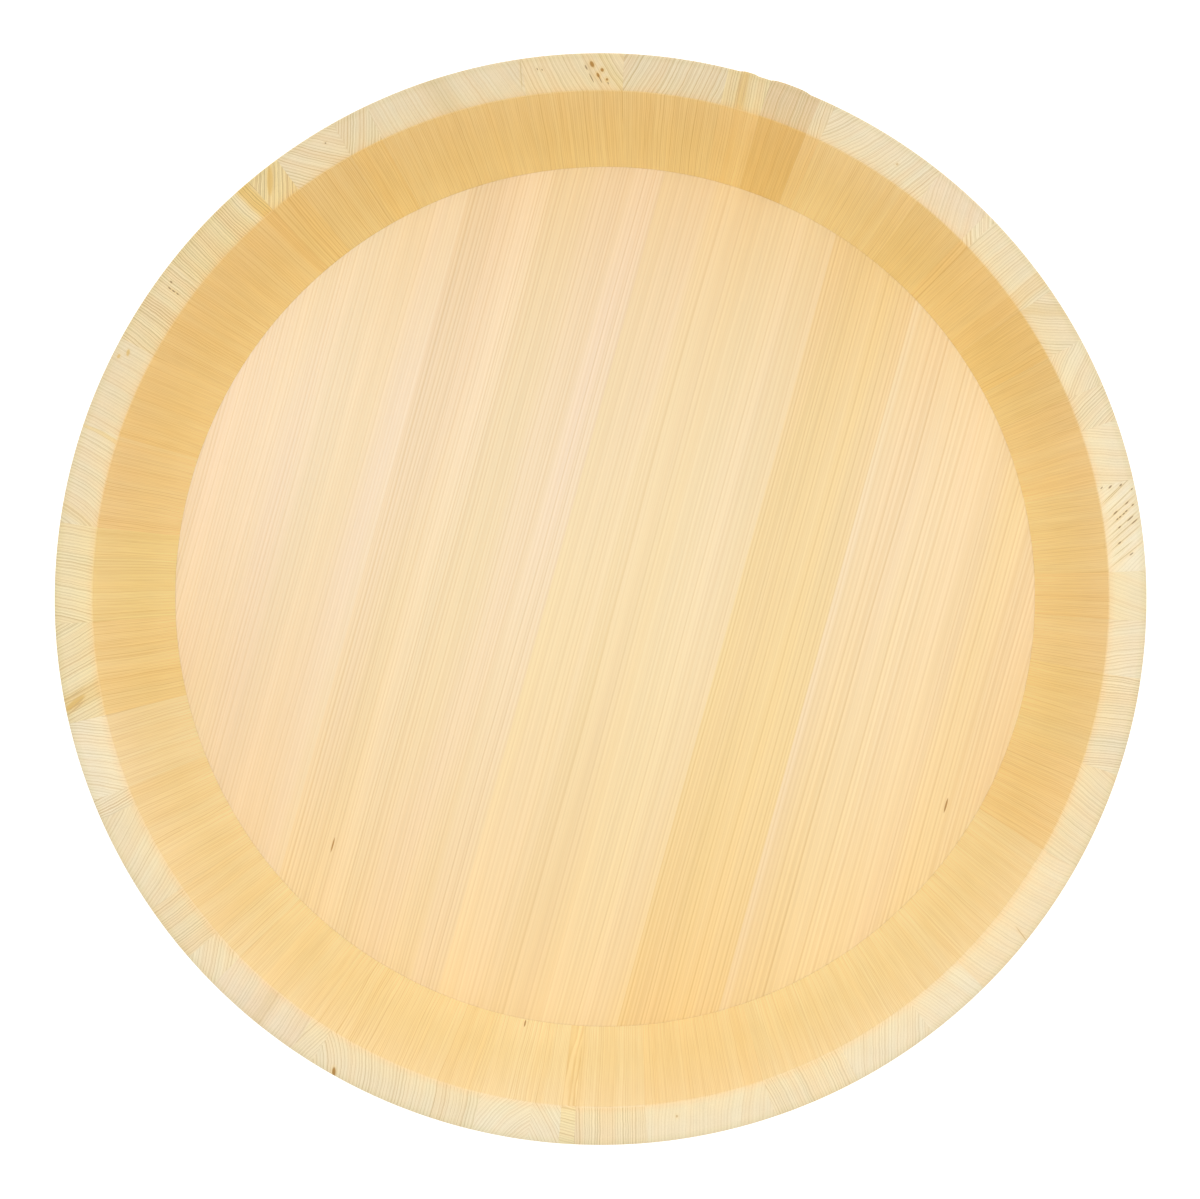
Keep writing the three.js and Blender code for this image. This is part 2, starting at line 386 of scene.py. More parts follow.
STAVES = (
    Stave(
        3.0, 34, 160, 1.1, 0.22, "cream", "straw",
        marks=(
            *dark_rings(11.86),
            Mark(11.52, 8.8, 9.0, 0.32, "rim_ring"),
            *dark_rings(10.71, 9.91, 9.15, 8.18, 7.50, 6.61),
            Mark(5.44, 7.7, 8.5, 0.32, "rim_ring"),
            *dark_rings(4.85),
            *dashes(
                (12.36, 5.0, 1.2, 0.6), (12.41, 8.5, 1.5, 0.6), (12.51, 11.3, 1.1, 0.4),
                (11.7, 1.7, 0.9, 0.4), (10.34, 4.2, 1.6, 0.4), (9.52, 8.4, 1.9, 0.5), (10.04, 2.4, 1.0, 0.5),
                (9.5, 4.8, 1.1, 0.45), (9.25, 5.8, 1.0, 0.4), (8.99, 7.1, 1.0, 0.5), (8.79, 8.1, 0.9, 0.45),
                (8.65, 3.9, 2.8, 0.45), (7.88, 7.8, 1.1, 0.5), (8.26, 2.7, 2.6, 0.4), (6.18, 8.4, 1.3, 0.5),
                (4.85, 4.9, 1.6, 0.4),
            ),
        ),
        seam=0.5,
    ),
    Stave(12.7, -17, -140, 0.93, 0.36, "pale", "warm"),
    Stave(19.2, 26, 150, 1, 0.58, "pale", "sand"),
    Stave(23.2, 40, 120, 0.92, 0.46, "pale", "hay"),
    Stave(28.3, -35, -120, 0.93, 0.45, "plain", "amber", (Band(32.3, 34.0, "toasted", 0.6),)),
    Stave(34.4, 0, 160, 1, 0.44, "plain", "honey", (Band(34.8, 36.8, "orange", 0.25),), seam=0.5),
    Stave(43.7, 45, 150, 1.43, 0.48, "pale", "honey", seam=0.35),
    Stave(44.9, 24, 150, 1.14, 0.35, "dusky", "hay"),
    Stave(51.4, -25, -60, 1.1, 0.5, "grey", "straw", marks=(Mark(55.7, 7.0, 0.9, 0.7, "rim_ring_warm"),)),
    Stave(64.5, 6, 150, 0.92, 0.66, "soft", "sand"),
    Stave(66.2, 0, 160, 1.07, 0.8, "brown", "russet", proud=Proud(67.4, 71.8, 0.6)),
    Stave(
        71.8, 4, 160, 0.93, 0.7, "ochre", "honey",
        (Band(73.7, 75.2, "toasted", 0.5), Band(74.1, 74.8, "orange", 0.4)),
        (Mark(74.2, 6.0, 12.0, 0.5, "rim_ring_warm"), Mark(74.8, 6.0, 12.0, 0.4, "rim_ring_warm")),
        proud=Proud(73.2, 75.1, 0.4),
    ),
    Stave(76.4, -21, -150, 1.36, 0.62, "ashen", "hay"),
    Stave(
        87.5, 26, 140, 1.43, 0.46, "tan", "hay", (Band(88.0, 89.2, "straw"),),
        (
            Mark(91.55, 5.2, 1.8, 0.5, "pitch"),
            Mark(90.91, 4.2, 2.2, 1.3),
            Mark(89.82, 6.1, 1.3, 1.1),
            Mark(90.99, 8.7, 3.4, 0.4, "pitch"),
            Mark(90.27, 7.8, 1.7, 0.9),
            Mark(90.03, 9.2, 2.6, 0.35, "pitch"),
            Mark(89.29, 9.2, 0.9, 0.8),
            *dashes((89.15, 10.4, 1.0, 0.35), (96.8, 4.6, 0.8, 0.4), (96.3, 5.0, 0.6, 0.4)),
        ),
    ),
    Stave(
        98.4, 17, 150, 1.19, 0.36, "ashen", "hay", (Band(106.0, 108.8, "tan"),),
        (Mark(98.6, 5.0, 11.0, 0.35, "rim_ring", -5.0),),
    ),
    Stave(115.4, -28, -150, 1, 0.64, "dull", "amber"),
    Stave(119.4, 43, 140, 1, 0.62, "soft", "hay", marks=(*dashes((121.1, 5.0, 0.6, 0.5)),)),
    Stave(
        126.4, -38, -120, 1.5, 0.78, "amber", "amber",
        marks=(Mark(128.31, 4.75, 9.5, 1.9, "wall_ring"), Mark(127.7, 4.95, 8.2, 0.5, "rim_ring")),
    ),
    Stave(
        130.1, 0, 150, 0.85, 0.86, "honey", "honey",
        (Band(130.1, 131.7, "orange"), Band(131.8, 132.8, "snow", 0.7)), seam=0.9,
    ),
    Stave(
        141.6, -4, -150, 0.9, 0.8, "warm", "honey",
        marks=(
            *dashes(
                (144.2, 5.4, 1.2, 0.45), (144.2, 7.0, 1.2, 0.45), (144.2, 8.6, 0.9, 0.4),
                (143.55, 4.6, 0.9, 0.55),
            ),
            Mark(141.8, 6.0, 13.0, 0.4, "rim_ring"),
        ),
        seam=0.3,
    ),
    Stave(
        151.4, -6, -150, 1.05, 0.4, "soft", "honey",
        marks=(Mark(153.25, 2.7, 1.0, 1.5, "wall_ring"), Mark(152.45, 4.9, 1.1, 2.3, "wall_ring", 15.0)),
    ),
    Stave(
        161.3, -19, -50, 1.07, 0.48, "plain", "warm",
        (Band(170.5, 171.9, "orange", 0.3), Band(161.3, 161.8, "orange", 0.6)),
    ),
    Stave(171.9, -9, -140, 1, 0.54, "lemon", "primrose"),
    Stave(
        182.6, 21, 120, 1.07, 0.55, "straw", "lemon", (Band(189.7, 191.8, "biscuit"),),
        (
            Mark(191.2, 3.8, 8.5, 1.9, "wall_ring", 28.0),
            Mark(191.75, 4.0, 8.0, 0.5, "rim_ring_warm", 29.0),
            Mark(191.35, 4.3, 7.0, 0.4, "rim_ring_warm", 29.0),
            Mark(190.2, 4.6, 7.0, 0.4, "rim_ring", 24.0),
        ),
        seam=0.4,
    ),
    Stave(193.2, -24, -120, 1, 0.44, "cream", "snow", seam=0.8),
    Stave(201.7, 6, 150, 0.86, 0.72, "cream", "milk"),
    Stave(203.8, 30, 100, 1.14, 0.37, "plain", "milk", seam=0.4),
    Stave(214.6, 0, 150, 0.86, 0.54, "peach", "milk"),
    Stave(221.0, 36, 120, 1.1, 0.48, "pale", "cream"),
    Stave(224.8, 7, 140, 1.07, 0.37, "rose", "milk", (Band(230.0, 231.3, "tan"),), seam=0.4),
    Stave(235.5, -12, -140, 1, 0.42, "pale", "milk"),
    Stave(238.0, 12, 45, 1.15, 0.5, "pale", "milk", marks=(Mark(240.58, 1.6, 3.2, 1.2, lean=25.0),)),
    Stave(256.4, -38, -30, 1.07, 0.35, "cream", "snow", streaks=(Streak(259.4, 28.0, 7.0, 0.6),)),
    Stave(262.3, 33, 100, 1.07, 0.42, "cream", "snow"),
    Stave(265.6, 80, 100, 0.93, 0.5, "primrose", "milk", seam=0.5),
    Stave(267.2, 0, 150, 0.84, 0.62, "light", "snow", (Band(268.0, 274.0, "peach", 0.6),), seam=0.5),
    Stave(
        275.0, -15, -140, 1.14, 0.23, "pale", "pale",
        marks=(Mark(278.4, 8.2, 0.9, 0.8, "rim_ring_warm"),), seam=0.5,
    ),
    Stave(288.7, 3, 150, 0.93, 0.46, "light", "cream", (Band(293.0, 297.0, "peach"),)),
    Stave(298.2, -31, -120, 1.0, 0.36, "milk", "cream"),
    Stave(307.5, 15, 130, 1.0, 0.28, "milk", "cream"),
    Stave(
        314.6, 8, -60, 1.14, 0.25, "blond", "milk",
        marks=(Mark(321.5, 3.2, 6.0, 0.35, "rim_ring_warm", -14.0),),
    ),
    Stave(330.5, -15, -140, 1.36, 0.33, "peach", "warm", seam=0.5),
    Stave(
        341.2, 7, 150, 0.84, 0.58, "light", "lemon",
        (Band(341.2, 345.7, "grey"), Band(345.7, 351.6, "peach", 0.6)),
    ),
    Stave(351.6, 12, 140, 1.07, 0.38, "milk", "ivory"),
    Stave(357.7, -18, -120, 1.28, 0.23, "ivory", "warm"),
)

PLANKS = (
    Plank(
        -170.0, 1.6, 2.7, 0.1, 0.12, "blush",
        (
            Band(-170.0, -141.0, "milk", 0.4),
            Band(-116.0, -97.0, "sand", 0.3),
            Band(-111.0, -101.0, "tan", 0.3),
        ),
    ),
    Plank(
        -90.3, 1.66, 1.7, 0.15, 0.25, "linen",
        (
            Band(-90.3, -81.0, "milk", 0.4),
            Band(-70.0, -61.0, "milk", 0.6),
            Band(-31.0, -20.9, "rose", 0.6),
            Band(-31.0, -20.9, "milk", 0.5),
        ),
        (Streak(-73.9, -117.6, 5.6, 0.6),),
    ),
    Plank(
        -20.9, 1.64, 0.6, 0.3, 0.32, "plain",
        (Band(-1.0, 9.0, "straw", 0.6), Band(10.0, 19.5, "tan", 0.25), Band(20.0, 39.0, "milk", 0.35)),
    ),
    Plank(47.4, 1.6, 0.85, 0.2, 0.36, "sand", (Band(48.0, 66.0, "hay", 0.3), Band(69.0, 74.0, "sand", 0.3))),
    Plank(
        82.9, 1.95, 0.75, 0.22, 0.38, "pale",
        (
            Band(82.9, 85.5, "linen", 0.5),
            Band(86.0, 98.0, "tan", 0.5),
            Band(105.0, 126.0, "pale", 0.5),
            Band(134.0, 148.0, "straw", 0.6),
            # Paler by the wall: partly the plank's own wood and partly painted light, taking out the orange
            # that the wall's warm light gives this edge
            Band(140.0, 170.0, "milk", 0.35),
        ),
        (Streak(144.8, -41.5, 5.6, 0.7),),
    ),
)


def length(name, words, default):
    return FloatProperty(name=name, description=words, default=default * MM, unit="LENGTH", precision=4)


def turn(name, words, default):
    return FloatProperty(name=name, description=words, default=math.radians(default), unit="ROTATION")


def colour(name, words, *default):
    return FloatVectorProperty(name=name, description=words, default=default, subtype="COLOR", min=0, max=1)


class TubSizes(bpy.types.PropertyGroup):
    """Sizes of the tub"""

    rim_radius: length("Rim radius", "Outer radius of the wall at the rim", 179.99)
    height: length("Height", "Height of the staves", 96)
    wall: length("Wall", "Thickness of the staves", 13)
    flare: turn("Flare", "How far the wall leans out", 4)
    rim_ease_outside: length("Rim ease outside", "Rounding of the rim's outer edge", 1.6)
    rim_ease_inside: length("Rim ease inside", "Rounding of the rim's inner edge", 0.8)
    foot_ease: length("Foot ease", "Chamfer of the foot", 1.5)
    joint: length("Joint", "Width of the joint between two staves", 0.01)
    board_joint: length("Board joint", "Width of the joint between two base planks", 0.004)
    board_top: length("Board top", "Height of the base board's upper face", 24)
    board_thickness: length("Board thickness", "Thickness of the base board", 14)
    board_edge: length("Board edge", "Thickness of the board's edge in the groove", 10)
    board_taper: length("Board taper", "Width of the taper under the board's edge", 4)
    board_land: length("Board land", "Width of the flat part of the board's edge", 4)
    board_ease: length("Board ease", "How far the board's upper edge is planed down", 0.1)
    board_play: length("Board play", "Room between the board and its groove", 0.06)
    groove_depth: length("Groove depth", "Depth of the groove that holds the base board", 3)
    clearance: length("Clearance", "Room round the hoops, the rivets and the pegs", 0.3)
    grain_turn: turn("Grain turn", "Direction of the base board's grain", -15.5)
    peg_radius: length("Peg radius", "Radius of the pegs between the planks", 2)
    peg_length: length("Peg length", "Length of the pegs between the planks", 26)
    hoop_width: length("Hoop width", "Width of the copper strip", 14)
    hoop_thickness: length("Hoop thickness", "Thickness of the copper strip", 0.8)
    hoop_lap: length("Hoop lap", "Length of the overlap of a hoop's two ends", 27)
    upper_hoop_foot: length("Upper hoop", "Height of the upper hoop's lower edge", 60)
    lower_hoop_foot: length("Lower hoop", "Height of the lower hoop's lower edge", 13)
    upper_lap: turn("Upper lap", "Where the upper hoop is lapped", 281.8)
    lower_lap: turn("Lower lap", "Where the lower hoop is lapped", 106.9)
    rivet_spacing: length("Rivet spacing", "Distance between the two rivets of a lap", 12)
    rivet_head: length("Rivet head", "Radius of a rivet's head", 3.6)
    rivet_dome: length("Rivet dome", "Height of a rivet's head", 1.4)
    rivet_shank: length("Rivet shank", "Radius of a rivet's shank", 1.7)
    rivet_tail: length("Rivet tail", "Radius of a rivet's spread tail", 2.6)
    rivet_tail_thickness: length("Rivet tail thickness", "Thickness of a rivet's spread tail", 0.8)


class TubColours(bpy.types.PropertyGroup):
    """Colours of the tub"""

    rim: colour("Rim", "End grain between the rings", 0.90, 0.752, 0.47)
    rim_warm: colour("Warm rim", "End grain between the rings, in its warm bands", 0.90, 0.722, 0.432)
    rim_ring: colour("Rim rings", "Late wood in the end grain", 0.565, 0.42, 0.194)
    rim_ring_warm: colour("Warm rim rings", "Late wood in the warm bands of the end grain", 0.60, 0.40, 0.175)
    # The long grain is given more amber than the end grain: partly the wood's own difference and partly
    # painted light, the warm light that bounces about inside the tub
    wall: colour("Wall", "Long grain of the staves", 0.987, 0.796, 0.442)
    wall_warm: colour("Warm wall", "Long grain of the staves, in its warm bands", 0.982, 0.77, 0.404)
    wall_ring: colour("Wall rings", "Late wood in the long grain of the staves", 0.69, 0.445, 0.125)
    board: colour("Board", "Base planks in their rosy bands", 0.946, 0.779, 0.546)
    board_warm: colour("Warm board", "Base planks in their yellow bands", 0.946, 0.789, 0.503)
    board_ring: colour("Board rings", "Late wood in the base planks", 0.73, 0.53, 0.258)
    resin: colour("Resin", "Spots of resin", 0.37, 0.165, 0.012)
    pitch: colour("Pitch", "Dark lines of pitch", 0.17, 0.075, 0.02)
    bamboo: colour("Bamboo", "Pegs", 0.70, 0.53, 0.24)
    bamboo_fibre: colour("Bamboo fibre", "Dark fibres in the pegs", 0.42, 0.27, 0.10)
    copper: colour("Copper", "Bright copper", 0.62, 0.255, 0.125)
    copper_toned: colour("Toned copper", "Copper that has darkened", 0.38, 0.155, 0.08)
    floor: colour("Floor", "Floor under the tub", 0.90, 0.90, 0.90)


def arithmetic(operation, swapped=False):
    """A method of Value that adds a Math node, with the Value as the second number if swapped."""

    def method(self, *others):
        numbers = (*others, self) if swapped else (self, *others)
        return self.nodes.maths(operation, *numbers)

    return method


class Value:
    """A socket in a node tree. Arithmetic on it adds Math nodes."""

    def __init__(self, nodes, socket):
        self.nodes = nodes
        self.socket = socket

    __add__ = arithmetic("ADD")
    __radd__ = arithmetic("ADD", swapped=True)
    __sub__ = arithmetic("SUBTRACT")
    __rsub__ = arithmetic("SUBTRACT", swapped=True)
    __mul__ = arithmetic("MULTIPLY")
    __rmul__ = arithmetic("MULTIPLY", swapped=True)
    __truediv__ = arithmetic("DIVIDE")
    __pow__ = arithmetic("POWER")
    __abs__ = arithmetic("ABSOLUTE")


class Nodes:
    """A node tree that is put together node by node."""

    def __init__(self, tree):
        self.tree = tree

    def node(self, kind, sockets=None, output=0, **settings):
        """Adds a node: its settings are set first, then its sockets are filled or linked."""
        made = self.tree.nodes.new(kind)
        for name, setting in settings.items():
            setattr(made, name, setting)
        self.fill(made, sockets or {})
        return Value(self, made.outputs[output])

    def fill(self, made, sockets):
        places = {socket.identifier: socket for socket in made.inputs}
        for name, content in sockets.items():
            if isinstance(content, Value):
                self.tree.links.new(content.socket, places[name])
            elif places[name].type == "RGBA":
                places[name].default_value = (*content, 1.0)
            else:
                places[name].default_value = content

    def maths(self, operation, *numbers):
        return self.node("ShaderNodeMath", dict(zip(("Value", "Value_001"), numbers)), operation=operation)

    def seen(self):
        """1 for what the camera sees straight on, in metal or through glass, and 0 for other light."""
        rays = self.node("ShaderNodeLightPath").socket.node.outputs
        return self.maths("MINIMUM", sum(Value(self, rays[name]) for name in SEEN_RAYS), 1.0)


class Finish(Nodes):
    """A material round one Principled shader."""

    def __init__(self, name):
        self.material = bpy.data.materials.new(name)
        self.material.use_nodes = True
        super().__init__(self.material.node_tree)
        self.shader = self.tree.nodes["Principled BSDF"]

    def surface(self, **sockets):
        self.fill(self.shader, {name.replace("_", " "): content for name, content in sockets.items()})
        return self.material

    def ease(self, value, none, full):
        """Smooth step from 0 to 1, upwards or downwards."""
        sockets = {"Value": value, "From Min": none, "From Max": full}
        return self.node("ShaderNodeMapRange", sockets, interpolation_type="SMOOTHSTEP")

    def between(self, value, low, high, blur):
        """1 between low and high, with soft sides."""
        return self.ease(value, low - blur, low + blur) - self.ease(value, high - blur, high + blur)

    def mix(self, factor, first, second, blend="MIX"):
        sockets = {"Factor_Float": factor, "A_Color": first, "B_Color": second}
        return self.node("ShaderNodeMix", sockets, MIXED_COLOUR, data_type="RGBA", blend_type=blend)

    def tint(self, base, tone, share):
        return self.mix(share, base, TONES[tone], "MULTIPLY")

    def times(self, colour, value):
        """A colour made lighter or darker."""
        return self.node("ShaderNodeVectorMath", {"Vector": colour, "Scale": value}, operation="SCALE")

    def place(self, location=ORIGIN, rotation=ORIGIN):
        """Object coordinates in millimetres, in a frame set at a place on the piece."""
        points = self.node("ShaderNodeTexCoord", output="Object")
        sockets = {"Vector": points, "Location": location, "Rotation": rotation, "Scale": (MM, MM, MM)}
        return self.node("ShaderNodeMapping", sockets, vector_type="TEXTURE")

    def axes(self, vector):
        parts = self.node("ShaderNodeSeparateXYZ", {"Vector": vector}).socket.node.outputs
        return [Value(self, part) for part in parts]

    def noise(self, vector, scale, seed=0.0, detail=2.0):
        """Smooth noise round 0, with its scale per millimetre along each axis."""
        sockets = {"Vector": vector, "Scale": scale, "Location": (seed, seed, seed)}
        stretched = self.node("ShaderNodeMapping", sockets, vector_type="POINT")
        return self.node("ShaderNodeTexNoise", {"Vector": stretched, "Scale": 1.0, "Detail": detail}) - 0.5

    def wander(self, vector, noises, seed):
        """The sum of several noises, each given by its strength and its scale."""
        return sum(strength * self.noise(vector, scale, seed) for strength, scale in noises)

    def noise_along(self, value):
        """Smooth noise round 0 along one line."""
        sockets = {"W": value, "Scale": 1.0, "Detail": 1.0}
        return self.node("ShaderNodeTexNoise", sockets, noise_dimensions="1D") - 0.5

    def chance(self, value):
        """A number from 0 to 1 for each whole number."""
        return self.node("ShaderNodeTexWhiteNoise", {"W": value}, noise_dimensions="1D")

    def bump(self, height, distance, strength):
        return self.node("ShaderNodeBump", {"Height": height, "Distance": distance, "Strength": strength})


def growth_rings(wood, distance, ring, seed):
    """Rings that differ in width and strength: each darkens slowly and ends quickly."""
    count = distance / ring + seed
    count = count + RING_UNEVEN * wood.noise_along(count * RING_CHANGE)
    number = wood.maths("FLOOR", count)
    phase = count - number
    late = wood.ease(phase, LATE_START, LATE_FULL) - wood.ease(phase, LATE_BREAK, 1.0)
    return late * (RING_FAINTEST + (1 - RING_FAINTEST) * wood.chance(number))


def tinted(colour, tone):
    return tuple(min(c * t, 1.0) for c, t in zip(colour, TONES[tone]))


def radius_of(x, y):
    return (x ** 2.0 + y ** 2.0) ** 0.5


def lay_band(wood, base, distance, sides, tone, strength):
    """Tints a stripe between two ring distances."""
    low, high = sorted(sides)
    inside = wood.between(distance, low, high, BAND_BLUR * (high - low))
    return wood.tint(base, tone, inside * strength)


def oval(wood, along, across, length, width):
    """1 inside an oval, 0 outside, with a soft edge."""
    reach = (along / (length / 2)) ** 2.0 + (across / (width / 2)) ** 2.0
    return wood.ease(reach, *OVAL_EDGE)


class StaveGrain:
    """The wood of one stave.

    Its frame sits at the middle of the rim: mm outwards, round the tub and up the stave.
    """

    def __init__(self, sizes, stave, last, number):
        self.wood = wood = Finish(f"stave_wood_{number:02d}")
        self.stave = stave
        self.seed = STAVE_SEED * number
        self.flare = sizes.flare
        self.height = sizes.height / MM
        self.half_wall = sizes.wall / MM / 2
        self.radius = sizes.rim_radius / MM - self.half_wall
        self.middle = math.radians((stave.first + last) / 2)
        radius = middle_radius(sizes)
        rim_middle = (radius * math.cos(self.middle), radius * math.sin(self.middle), sizes.height)
        self.local = wood.place(rim_middle, (0.0, sizes.flare, self.middle))
        self.out, self.round, self.up = wood.axes(self.local)
        lean = math.radians(stave.lean)
        self.pith = (stave.pith * math.sin(lean), -stave.pith * math.cos(lean))
        from_pith = radius_of(self.out - self.pith[0], self.round - self.pith[1])
        self.distance = from_pith + wood.wander(self.local, STAVE_WANDER, self.seed)
        self.outward = radius_of(self.out + self.radius, self.round) - self.radius

    def end(self):
        """1 on the ends of the stave, 0 on its sides. The rim's inner edge, worn round, shows long grain."""
        wood = self.wood
        normal = wood.node("ShaderNodeNewGeometry", output="Normal")
        upright = abs(wood.axes(normal)[2])
        inside = wood.ease(self.out, *INSIDE_SPAN)
        span = [plain + (worn - plain) * inside for plain, worn in zip(END_SPAN, WORN_END_SPAN)]
        return wood.ease(upright, *span)

    def inside(self):
        """1 on the inner face of the wall, 0 on its outer face."""
        return self.wood.ease(self.outward, *INSIDE_SPAN)

    def rim_place(self, degrees, inset):
        """A place on the rim in the stave's frame, from its angle and its distance from the outer edge."""
        turned = math.radians(degrees) - self.middle
        radius = self.radius + self.half_wall - inset
        return radius * math.cos(turned) - self.radius, radius * math.sin(turned)

    def ring_at(self, degrees):
        """Distance from the pith, half way across the rim."""
        out, side = self.rim_place(degrees, self.half_wall)
        return math.hypot(out - self.pith[0], side - self.pith[1])

    def lay_marks(self, base, colours, end):
        """Resin, pitch and single dark rings on the rim."""
        wood = self.wood
        for mark in self.stave.marks:
            out, side = self.rim_place(mark.degrees, mark.inset)
            x, y = self.out - out, self.round - side
            lean = self.stave.lean if mark.lean is None else mark.lean
            lean = math.radians(lean + mark.degrees) - self.middle
            along = x * math.cos(lean) + y * math.sin(lean)
            across = y * math.cos(lean) - x * math.sin(lean)
            halo = oval(wood, along, across, mark.length + HALO_LENGTH, mark.width + HALO_WIDTH) * end
            spot = oval(wood, along, across, mark.length, mark.width) * end
            cover, glow = MARK_COVER[mark.stuff]
            base = wood.tint(base, "orange", halo * glow)
            base = wood.mix(spot * cover, base, getattr(colours, mark.stuff))
        return base

    def shade_rim(self, rim):
        """The rim pales outwards, and painted shade yellows its inner edge and darkens its outer one."""
        for tone, span in RIM_SHADES:
            rim = self.wood.tint(rim, tone, self.wood.ease(self.outward, *span))
        return rim

    def shade_wall(self, wall):
        """Painted light pales the wall's inner face towards the base board, and painted shade darkens it
        towards the rim.
        """
        inside = self.inside()
        for tone, span in WALL_SHADES:
            wall = self.wood.tint(wall, tone, inside * self.wood.ease(self.up, *span))
        return wall

    def lay_streaks(self, base, colours):
        """Checks in the wall."""
        for streak in self.stave.streaks:
            along = self.up - (streak.along - self.height) / math.cos(self.flare)
            around = (math.radians(streak.across) - self.middle) * self.radius
            across = self.round - around * (1 + self.out / self.radius)
            spot = oval(self.wood, along, across, streak.length, streak.width) * self.inside()
            base = self.wood.mix(spot * STREAK_COVER, base, colours.resin)
        return base

    def seam(self):
        """1 along the stave's first joint."""
        side = self.round / (self.radius + self.out)
        joint = math.tan(math.radians(self.stave.first) - self.middle)
        return self.wood.ease(side, joint + SEAM_WIDTH / self.radius, joint)


def stave_finish(sizes, colours, stave, last, number):
    """Bare softwood: rings in the end grain of the rim that run on down the wall as straight grain."""
    grain = StaveGrain(sizes, stave, last, number)
    wood, seed, local, distance = grain.wood, grain.seed, grain.local, grain.distance
    end = grain.end()
    rings = growth_rings(wood, distance, stave.ring, seed)
    fine = growth_rings(wood, distance, stave.ring * FINE_SPACING, seed + FINE_SEED)
    warm = wood.ease(wood.noise_along(distance * STAVE_WARM_PACE + seed), *STAVE_WARM_SPAN)
    fibre = wood.noise(local, STAVE_FIBRE, seed)
    pores = wood.noise(local, STAVE_PORES, seed, detail=1.0)
    clouds = wood.noise(local, STAVE_CLOUDS, seed)

    late = RIM_RINGS * rings + RIM_FINE_RINGS * fine
    rim = wood.mix(warm, tinted(colours.rim, stave.rim), tinted(colours.rim_warm, stave.rim))
    rim_late = wood.mix(warm, colours.rim_ring, colours.rim_ring_warm)
    rim = grain.shade_rim(wood.mix(late * stave.bold, rim, rim_late))

    stripes = (WALL_RINGS * rings + fine) * (WALL_LINES + WALL_BOLD_LINES * stave.bold)
    wall = wood.mix(warm, tinted(colours.wall, stave.wall), tinted(colours.wall_warm, stave.wall))
    wall = wood.mix(stripes - WALL_FIBRE * fibre, wall, tinted(colours.wall_ring, stave.wall))
    if stave.seam:
        wall = wood.mix(grain.seam() * stave.seam * SEAM_COVER, wall, colours.wall_ring)

    base = wood.mix(end, grain.shade_wall(wall), rim)
    for band in stave.bands:
        strength = band.strength * (WALL_BANDS + (1 - WALL_BANDS) * end)
        sides = (grain.ring_at(band.low), grain.ring_at(band.high))
        base = lay_band(wood, base, distance, sides, band.tone, strength)
    base = grain.lay_streaks(grain.lay_marks(base, colours, end), colours)
    shade = 1 + CLOUD_SHADE * clouds + fibre * (1 - end) * FIBRE_SHADE + pores * end * PORE_SHADE
    return wood.surface(
        Base_Color=wood.times(base, shade),
        Roughness=STAVE_ROUGHNESS + END_ROUGHNESS * end - STAVE_LATE_GLOSS * late,
        Normal=wood.bump((late + fibre) / 2, *STAVE_RELIEF),
        Specular_IOR_Level=WOOD_SHINE,
    )


def board_finish(sizes, colours, plank, number):
    """Bare softwood with fine straight grain, in broad rosy and yellow bands."""
    wood = Finish(f"base_wood_{number}")
    local = wood.place((0.0, 0.0, sizes.board_top), (0.0, 0.0, sizes.grain_turn))
    across, along, up = wood.axes(local)
    seed = PLANK_SEED * number
    distance = across + RING_SLANT * up + wood.wander(local, PLANK_WANDER, seed)
    late = growth_rings(wood, distance, plank.ring, seed)
    late = late + plank.close * growth_rings(wood, distance, plank.ring * CLOSE_SPACING, seed + CLOSE_SEED)
    late = late + plank.coarse * growth_rings(wood, distance, plank.ring * COARSE_SPACING, seed + COARSE_SEED)
    fibre = wood.noise(local, PLANK_FIBRE, seed)
    clouds = wood.noise(local, PLANK_CLOUDS, seed)
    warm = wood.ease(wood.noise(local, PLANK_WARMTH, PLANK_WARM_SEED * seed), *PLANK_WARM_SPAN)

    base = wood.mix(warm, tinted(colours.board, plank.tone), tinted(colours.board_warm, plank.tone))
    base = wood.mix(late * plank.bold, base, tinted(colours.board_ring, plank.tone))
    for band in plank.bands:
        base = lay_band(wood, base, distance, (band.low, band.high), band.tone, band.strength)
    # Painted shade on the board's near end, and painted light on its far sides by the wall
    near_shade_share = wood.ease(along, *PAINTED_NEAR_SHADE_SPAN) - LESS_PAINTED_NEAR_SHADE * wood.ease(along, *LESS_PAINTED_NEAR_SHADE_SPAN)
    base = wood.tint(base, "painted_near_shade", near_shade_share)
    left, right = (
        wood.ease(across, *sideways) * wood.ease(along, *lengthways)
        for sideways, lengthways in (LEFT_SPANS, RIGHT_SPANS)
    )
    base = wood.tint(base, "painted_side_light", left + RIGHT_PAINTED_LIGHT * right)
    for streak in plank.streaks:
        spot = oval(wood, along - streak.along, across - streak.across, streak.length, streak.width)
        base = wood.mix(STREAK_COVER * spot * wood.ease(up, *STREAK_DEPTH), base, colours.resin)
    return wood.surface(
        Base_Color=wood.times(base, 1 + PLANK_FIBRE_SHADE * fibre + PLANK_CLOUD_SHADE * clouds),
        Roughness=PLANK_ROUGHNESS - PLANK_LATE_GLOSS * late,
        Normal=wood.bump((late + fibre) / 2, *PLANK_RELIEF),
        Specular_IOR_Level=WOOD_SHINE,
    )


def bamboo_finish(sizes, colours):
    """Split bamboo with dark fibres along the pegs."""
    cane = Finish("bamboo")
    local = cane.place(rotation=(0.0, 0.0, sizes.grain_turn))
    fibre = cane.ease(cane.noise(local, BAMBOO_FIBRE), *BAMBOO_FIBRE_SPAN)
    base = cane.mix(fibre * BAMBOO_FIBRE_COVER, colours.bamboo, colours.bamboo_fibre)
    return cane.surface(Base_Color=base, Roughness=BAMBOO_ROUGHNESS + BAMBOO_FIBRE_ROUGHNESS * fibre)


